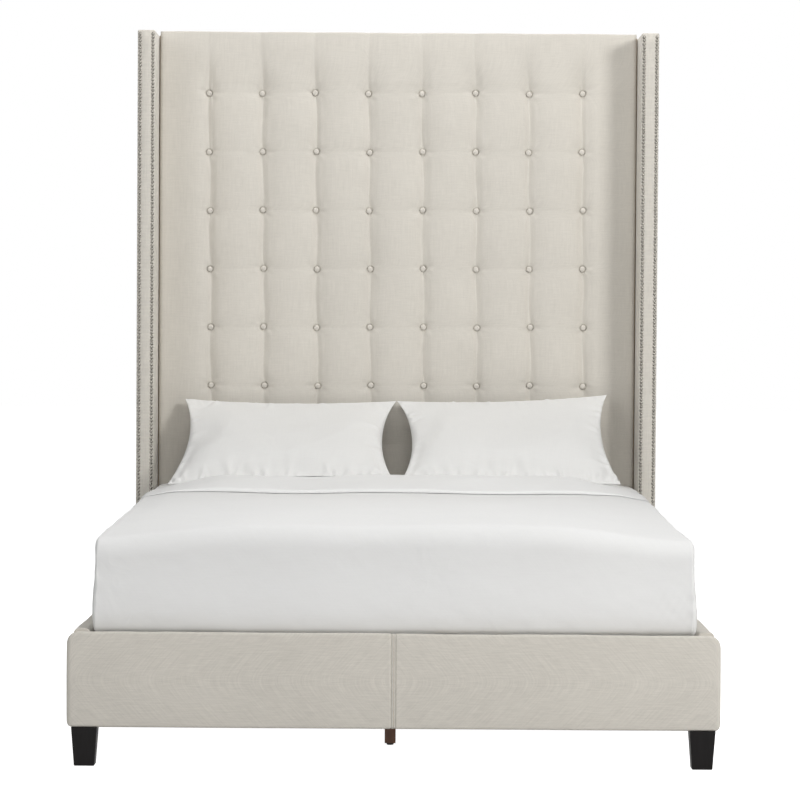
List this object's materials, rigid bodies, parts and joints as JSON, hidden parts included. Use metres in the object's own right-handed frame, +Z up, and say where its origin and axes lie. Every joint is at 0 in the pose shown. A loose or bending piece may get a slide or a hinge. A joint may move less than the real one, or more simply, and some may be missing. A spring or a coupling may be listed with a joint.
{
  "type": "wingback bed",
  "caption": "Upholstered wingback bed with a tall button-tufted headboard, nail-trimmed wings, low footboard, slatted deck, levelling feet and made-up bedding.",
  "frame": {"origin": "on the floor under the middle of the bed's bounding box", "axes": "+X to the right as seen from the foot, +Y from the footboard to the headboard, +Z up"},
  "size_m": [1.69, 2.195, 2.105],
  "materials": {
    "linen": "woven linen-look upholstery over foam",
    "zinc_steel": "zinc-plated steel",
    "black_foot": "satin black lacquer on solid wood",
    "nickel_nails": "domed nickel nail heads",
    "white_cotton": "plain white cotton",
    "ticking": "quilted mattress ticking",
    "foundation_cloth": "foundation cover cloth",
    "back_cloth": "black non-woven dust cloth",
    "brown_leg": "brown stained wood",
    "black_plastic": "moulded black plastic",
    "plywood": "plywood",
    "pine": "sawn pine"
  },
  "bodies": {
    "bed": {"centre_leg_1": "brown_leg", "centre_leg_2": "brown_leg", "centre_leg_3": "brown_leg", "centre_leg_4": "brown_leg", "cleat_left": "pine", "cleat_right": "pine", "comforter": "white_cotton", "folded_sheet": "white_cotton", "foot_bolts": "zinc_steel", "foot_left": "black_foot", "foot_right": "black_foot", "footboard_bottom_rail": "pine", "footboard_cover_left": "linen", "footboard_cover_right": "linen", "footboard_panel": "plywood", "footboard_post_left": "pine", "footboard_post_right": "pine", "footboard_top_rail": "pine", "foundation": "foundation_cloth", "headboard_back_cloth": "back_cloth", "headboard_board": "plywood", "headboard_bottom_rail": "pine", "headboard_buttons": "linen", "headboard_middle_rail": "pine", "headboard_pad": "linen", "headboard_stile_left": "pine", "headboard_stile_right": "pine", "headboard_top_rail": "pine", "leg_sleeves": "zinc_steel", "mattress": "ticking", "nail_rows_left": "nickel_nails", "nail_rows_right": "nickel_nails", "pillow_left": "white_cotton", "pillow_right": "white_cotton", "rail_board_left": "pine", "rail_board_right": "pine", "rail_cover_left": "linen", "rail_cover_right": "linen", "rail_hook_plates": "zinc_steel", "slat_1": "pine", "slat_2": "pine", "slat_3": "pine", "slat_4": "pine", "socket_plates": "zinc_steel", "wing_back_post_left": "pine", "wing_back_post_right": "pine", "wing_bolts": "zinc_steel", "wing_cover_left": "linen", "wing_cover_right": "linen", "wing_front_post_left": "pine", "wing_front_post_right": "pine", "wing_glides": "black_plastic", "wing_rungs_left": "pine", "wing_rungs_right": "pine"},
    "levelling_foot_1": {"leveller_1": "black_plastic"},
    "levelling_foot_2": {"leveller_2": "black_plastic"},
    "levelling_foot_3": {"leveller_3": "black_plastic"},
    "levelling_foot_4": {"leveller_4": "black_plastic"}
  },
  "joints": [
    {"name": "level_1", "type": "slide", "parent": "bed", "child": "levelling_foot_1", "axis": [0, 0, 1], "range_m": [-0.015, 0]},
    {"name": "level_2", "type": "slide", "parent": "bed", "child": "levelling_foot_2", "axis": [0, 0, 1], "range_m": [-0.015, 0]},
    {"name": "level_3", "type": "slide", "parent": "bed", "child": "levelling_foot_3", "axis": [0, 0, 1], "range_m": [-0.015, 0]},
    {"name": "level_4", "type": "slide", "parent": "bed", "child": "levelling_foot_4", "axis": [0, 0, 1], "range_m": [-0.015, 0]}
  ]
}
